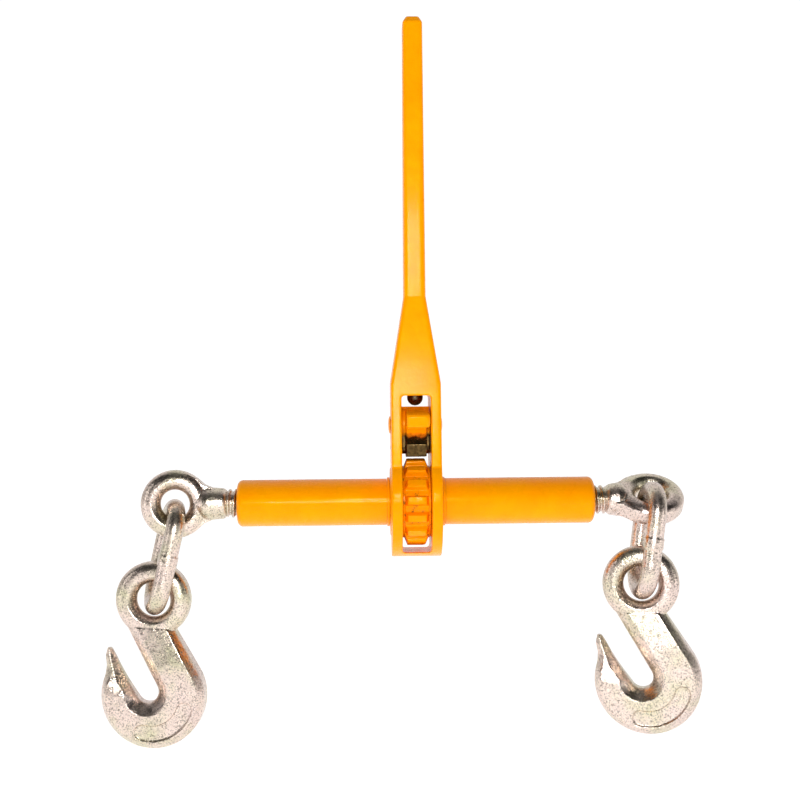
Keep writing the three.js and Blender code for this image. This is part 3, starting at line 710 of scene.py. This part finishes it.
def ramp(tree, factor, stops):
    """A colour ramp from stops of (position, colour or grey)."""
    node = add(tree, "ShaderNodeValToRGB", {"Fac": factor})
    elements = node.color_ramp.elements
    while len(elements) < len(stops):
        elements.new(0.5)
    for element, (position, colour) in zip(elements, stops):
        element.position = position
        element.color = (*colour, 1) if isinstance(colour, tuple) else (colour,) * 3 + (1,)
    return node.outputs["Color"]


def mix(tree, factor, a, b, blend="MIX"):
    """A blend of two colours, each a node's output or a value."""
    node = add(tree, "ShaderNodeMix", data_type="RGBA", blend_type=blend)
    for socket, value in ((node.inputs[0], factor), (node.inputs[6], a), (node.inputs[7], b)):
        if isinstance(value, bpy.types.NodeSocket):
            tree.links.new(value, socket)
        else:
            socket.default_value = (*value, 1) if isinstance(value, tuple) else value
    return node.outputs[2]


def math_node(tree, operation, a, b=0.0):
    """A sum, product or other operation on two numbers, each a node's output or a value."""
    return add(tree, "ShaderNodeMath", {0: a, 1: b}, operation=operation).outputs[0]


def bump(tree, height, depth, normal=None):
    """Bump whose full height is the depth in millimetres."""
    inputs = {"Height": height, "Distance": depth * MM, "Strength": 1.0}
    if normal is not None:
        inputs["Normal"] = normal
    return add(tree, "ShaderNodeBump", inputs).outputs["Normal"]


PAINT = (1.0, 0.35, 0.0)
PAINT_DEEP = (1.0, 0.315, 0.0)


def painted(name, waviness=0.30):
    """Thick gloss enamel over a forging, with orange peel and slight sags."""
    material, tree, shader = new_material(name)
    tree.links.new(ramp(tree, grain(tree, 22, 3), [(0.35, PAINT_DEEP), (0.62, PAINT)]),
                   shader.inputs["Base Color"])
    tree.links.new(ramp(tree, grain(tree, 6, 4), [(0.3, 0.22), (0.75, 0.38)]),
                   shader.inputs["Roughness"])
    sag = bump(tree, grain(tree, 9, 2), waviness)
    peel = bump(tree, grain(tree, 1.6, 2), 0.035, sag)
    tree.links.new(peel, shader.inputs["Normal"])
    shader.inputs["Specular Tint"].default_value = (*PAINT, 1)
    shader.inputs["Coat Weight"].default_value = 0.08
    shader.inputs["Coat Roughness"].default_value = 0.1
    return material, tree, shader


def gear_paint():
    """The same enamel, with painted shade darkening it in patches in the roots between the teeth."""
    material, tree, shader = painted("gear_paint", 0.45)
    apart = add(tree, "ShaderNodeSeparateXYZ", {"Vector": place_of(tree)})
    square = math_node(tree, "ADD", math_node(tree, "POWER", apart.outputs["Y"], 2.0),
                       math_node(tree, "POWER", apart.outputs["Z"], 2.0))
    radius = math_node(tree, "SQRT", square)
    root = add(tree, "ShaderNodeMapRange", {
        "Value": radius, "From Min": (GEAR_ROOT + 1.6) * MM, "From Max": (GEAR_ROOT - 0.2) * MM,
    }).outputs["Result"]
    patch = ramp(tree, grain(tree, 4, 4, 0.7), [(0.55, 0.0), (0.68, 1.0)])
    painted_root_shade = math_node(tree, "MULTIPLY", root, patch)
    colour = shader.inputs["Base Color"].links[0].from_socket
    # Painted shade: a dark brown blended in patches into the roots between the teeth, where shade falls.
    tree.links.new(mix(tree, painted_root_shade, colour, (0.12, 0.06, 0.015)), shader.inputs["Base Color"])
    return material


def pawl_finish():
    """Enamel above, worn to bare brown steel where the claws work; the near-black brown of that steel is
    also painted shade for the undercut below the lugs and the slot beside the pawl.
    """
    material, tree, shader = painted("pawl_paint", 0.2)
    height = add(tree, "ShaderNodeSeparateXYZ", {"Vector": place_of(tree)}).outputs["Z"]
    ragged = math_node(tree, "MULTIPLY", grain(tree, 5, 3), 0.005)
    edge = math_node(tree, "ADD", height, ragged)
    bare = add(tree, "ShaderNodeMapRange", {
        "Value": edge, "From Min": 0.0525, "From Max": 0.0495}).outputs["Result"]
    # Bare steel, made near-black brown so that it also serves as painted shade in the undercut and in the
    # slot beside the pawl.
    steel = ramp(tree, grain(tree, 2.5, 4), [(0.3, (0.035, 0.02, 0.006)), (0.7, (0.14, 0.085, 0.028))])
    colour = shader.inputs["Base Color"].links[0].from_socket
    tree.links.new(mix(tree, bare, colour, steel), shader.inputs["Base Color"])
    tree.links.new(bare, shader.inputs["Metallic"])
    return material


def zinc_plated():
    """Bright zinc with a yellow chromate film that shifts to pink and green, over a blasted forging."""
    material, tree, shader = new_material("zinc_plate")
    film = grain(tree, 26, 3, 0.6)
    tint = ramp(tree, film, [
        (0.30, (0.64, 0.59, 0.42)), (0.42, (0.69, 0.60, 0.48)), (0.52, (0.75, 0.62, 0.54)),
        (0.64, (0.75, 0.61, 0.55))])
    speck = ramp(tree, grain(tree, 1.1, 3, 0.7), [(0.36, 0.3), (0.49, 1.0)])
    tree.links.new(mix(tree, 1.0, tint, speck, "MULTIPLY"), shader.inputs["Base Color"])
    tree.links.new(ramp(tree, grain(tree, 5, 4), [(0.3, 0.20), (0.75, 0.34)]),
                   shader.inputs["Roughness"])
    hammered = bump(tree, grain(tree, 7, 2), 0.4)
    blasted = bump(tree, grain(tree, 1.3, 3, 0.6), 0.2, hammered)
    tree.links.new(blasted, shader.inputs["Normal"])
    shader.inputs["Metallic"].default_value = 1
    return material


def machined(name, light, dark, roughness):
    """Bare turned or ground steel with faint mottling."""
    material, tree, shader = new_material(name)
    tree.links.new(ramp(tree, grain(tree, 3, 4), [(0.3, dark), (0.7, light)]),
                   shader.inputs["Base Color"])
    tree.links.new(ramp(tree, grain(tree, 1.5, 3), [(0.3, roughness - 0.08), (0.7, roughness + 0.08)]),
                   shader.inputs["Roughness"])
    tree.links.new(bump(tree, grain(tree, 1, 3), 0.03), shader.inputs["Normal"])
    shader.inputs["Metallic"].default_value = 1
    return material


# ---------------------------------------------------------------- studio

def stage_floor():
    """A pale floor that lights up to the white of the background."""
    corners = [(FLOOR_HALF * x, FLOOR_HALF * y, FLOOR_Z) for x, y in ((-1, -1), (1, -1), (1, 1), (-1, 1))]
    floor = new_object("floor", corners, [(0, 1, 2, 3)])
    material, _tree, shader = new_material("floor_white")
    shader.inputs["Base Color"].default_value = (0.9, 0.9, 0.9, 1)
    shader.inputs["Roughness"].default_value = 1
    shader.inputs["Emission Color"].default_value = (1, 1, 1, 1)
    shader.inputs["Emission Strength"].default_value = 0.7
    floor.data.materials.append(material)


def studio_world():
    """Pale behind and below, and dim above and in bands to the sides, for the metal to reflect.
    The background that the camera sees is white."""
    world = bpy.data.worlds.new("studio")
    world.use_nodes = True
    bpy.context.scene.world = world
    tree = world.node_tree
    direction = add(tree, "ShaderNodeTexCoord").outputs["Generated"]
    apart = add(tree, "ShaderNodeSeparateXYZ", {"Vector": direction})
    height = add(tree, "ShaderNodeMapRange", {
        "Value": apart.outputs["Z"], "From Min": -1.0, "From Max": 1.0}).outputs["Result"]
    across = add(tree, "ShaderNodeMapRange", {
        "Value": apart.outputs["X"], "From Min": -1.0, "From Max": 1.0}).outputs["Result"]
    by_height = ramp(tree, height, [
        (0.0, 0.65), (0.25, 0.75), (0.38, 0.62), (0.48, 0.66), (0.56, 0.50), (0.64, 0.22),
        (0.74, 0.05), (0.9, 0.05), (1.0, 0.2)])
    by_side = ramp(tree, across, [
        (0.0, 0.8), (0.1, 0.35), (0.22, 0.3), (0.36, 0.9), (0.48, 1.0), (0.6, 0.75), (0.74, 0.25),
        (0.88, 0.3), (1.0, 0.7)])
    front = mix(tree, 1.0, by_height, by_side, "MULTIPLY")
    behind = add(tree, "ShaderNodeMapRange", {
        "Value": apart.outputs["Y"], "From Min": -0.15, "From Max": 0.35}).outputs["Result"]
    room = mix(tree, behind, front, (0.85, 0.85, 0.85))
    seen = add(tree, "ShaderNodeLightPath").outputs["Is Camera Ray"]
    background = tree.nodes["Background"]
    tree.links.new(mix(tree, seen, room, (1.0, 1.0, 1.0)), background.inputs["Color"])
    background.inputs["Strength"].default_value = 1.05


def softbox(name, location, target, size, radiance):
    """A rectangular area light, its size in metres, that faces the target."""
    data = bpy.data.lights.new(name, "AREA")
    data.shape = "RECTANGLE"
    data.size, data.size_y = size
    data.energy = radiance * math.pi * size[0] * size[1]
    lamp = bpy.data.objects.new(name, data)
    lamp.location = location
    direction = Vector(target) - Vector(location)
    lamp.rotation_euler = direction.to_track_quat("-Z", "Y").to_euler()
    bpy.context.scene.collection.objects.link(lamp)


def camera():
    """In front, a little left and above the barrel, looking at the middle of the object."""
    position = Vector((-35, -955, 85)) * MM
    target = Vector((-10.7, 0, 72.7)) * MM
    roll = math.radians(-0.49)
    forward = (target - position).normalized()
    level = forward.cross(Vector((0, 0, 1))).normalized()
    upright = level.cross(forward)
    right = level * math.cos(roll) + upright * math.sin(roll)
    up = upright * math.cos(roll) - level * math.sin(roll)
    data = bpy.data.cameras.new("camera")
    data.angle = math.radians(33.33)
    data.clip_start = 0.01
    obj = bpy.data.objects.new("camera", data)
    obj.matrix_world = Matrix.Translation(position) @ Matrix((right, up, -forward)).transposed().to_4x4()
    bpy.context.scene.collection.objects.link(obj)
    bpy.context.scene.camera = obj


# ---------------------------------------------------------------- assembly

def show(obj, body, nodes, material):
    """Gives a piece its material, and lets it stand for CAD nodes of one body."""
    obj.data.materials.clear()
    obj.data.materials.append(material)
    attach(obj, body)
    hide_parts(*nodes)


def build():
    """Every piece, and finishes for the CAD nodes that show as they are."""
    paint = painted("enamel")[0]
    zinc = zinc_plated()
    dark = machined("dark_steel", (0.16, 0.12, 0.07), (0.05, 0.035, 0.02), 0.32)
    spring = machined("spring_steel", (0.42, 0.40, 0.37), (0.22, 0.21, 0.19), 0.35)

    show(barrel(), "barrel", ["barrel_tube"], paint)
    show(ratchet_gear(), "barrel", ["ratchet_gear"], gear_paint())
    for side, end in ((-1, "left"), (1, "right")):
        ring = split_ring(f"{end}_ring", GROOVE_RADIUS + GAP, BARREL_RADIUS + RING_PROUD,
                          RING_HALF_WIDTH, side * sum(RING_GROOVE) / 2)
        show(ring, "barrel", [f"{end}_retaining_ring"], paint)
    show(handle(), "handle", ["handle"], paint)
    show(rivet(), "handle", ["pawl_pin"], paint)
    show(pawl(), "pawl", ["pawl"], pawl_finish())
    show(plunger(), "plunger", ["plunger"], dark)

    for end, at in ENDS.items():
        show(eye_bolt(end, at), f"{end}_screw", [f"{end}_eye_bolt"], zinc)
        show(chain_link(end, at), f"{end}_link", [f"{end}_link"], zinc)
        show(grab_hook(end, at), f"{end}_hook", [f"{end}_hook"], zinc)

    kept = {"plunger_spring": spring, "gear_pin_front": spring, "gear_pin_back": spring,
            "left_snap_ring": spring, "right_snap_ring": spring,
            "left_stop_collar": dark, "right_stop_collar": dark}
    for node, material in kept.items():
        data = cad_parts[node].data
        data.materials.clear()
        data.materials.append(material)


def light():
    """The studio: two soft keys in front, high and low, and a weak edge light on each side."""
    studio_world()
    stage_floor()
    softbox("key_high", (-0.02, -1.05, 0.31), (0, 0, 0.05), (0.16, 0.13), 42)
    softbox("key_low", (-0.10, -1.05, 0.14), (0, 0, 0.05), (0.28, 0.09), 38)
    softbox("left_edge", (-1.2, -0.5, 0.1), (0, 0, 0), (0.25, 1.0), 2)
    softbox("right_edge", (1.2, -0.6, -0.1), (0, 0, 0), (0.25, 1.0), 1.5)


build()
light()
camera()
bpy.context.scene.view_settings.view_transform = "Standard"
